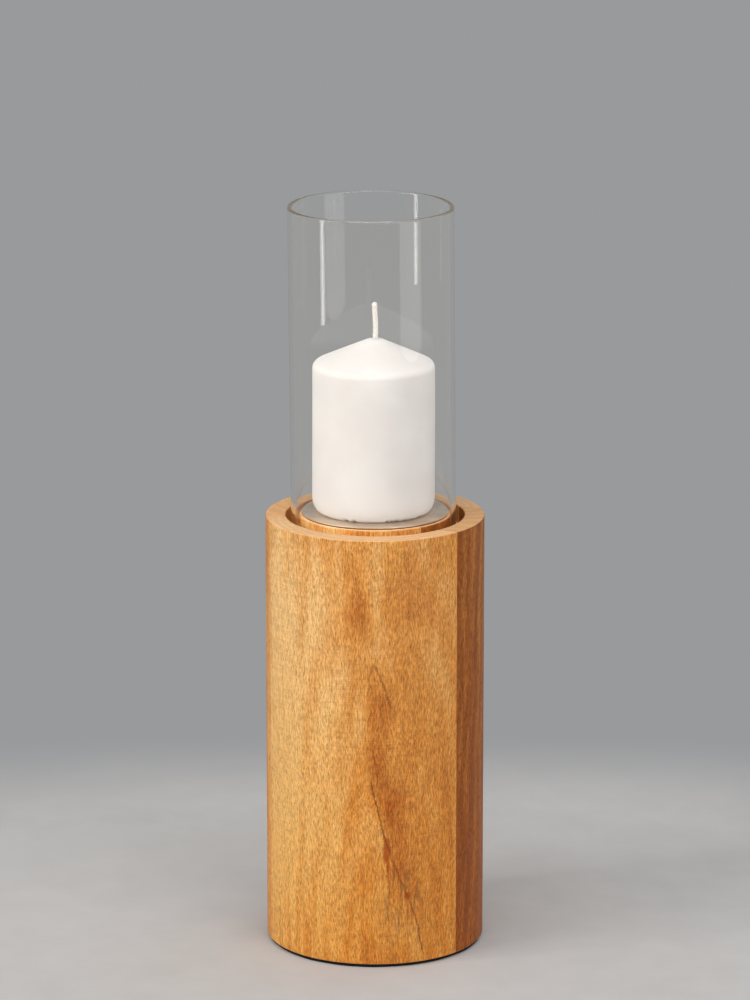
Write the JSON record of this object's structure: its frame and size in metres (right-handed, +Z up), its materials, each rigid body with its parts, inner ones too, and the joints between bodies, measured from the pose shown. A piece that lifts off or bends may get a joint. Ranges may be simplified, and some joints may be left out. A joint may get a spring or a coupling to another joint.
{
  "type": "candle hurricane",
  "caption": "Free-standing turned wooden column with a grooved top, an open glass chimney that lifts off and a pillar candle on a metal plate.",
  "frame": {"origin": "centre of the underside of the base pad", "axes": "+Z up along the column's axis; -Y towards the viewer, +X to the right"},
  "size_m": [0.125, 0.125, 0.4305],
  "materials": {
    "wood_front": "satin oil",
    "wood_middle": "satin oil",
    "wood_back": "satin oil",
    "pad": "matte",
    "adhesive": "matte",
    "plate_metal": "satin",
    "clear_glass": "polished",
    "wax": "satin wax",
    "wick_cotton": "matte"
  },
  "bodies": {
    "base": {"front_board": "wood_front", "middle_board": "wood_middle", "back_board": "wood_back", "base_pad": "pad", "plate_adhesive": "adhesive", "candle_plate": "plate_metal"},
    "chimney": {"glass_chimney": "clear_glass"},
    "candle": {"candle_wax": "wax", "wick": "wick_cotton"}
  },
  "joints": [
    {"name": "glass_lift", "type": "slide", "parent": "base", "child": "chimney", "axis": [0, 0, 1], "range_m": [0, 0.2]},
    {"name": "candle_lift", "type": "slide", "parent": "base", "child": "candle", "axis": [0, 0, 1], "range_m": [0, 0.2]}
  ]
}
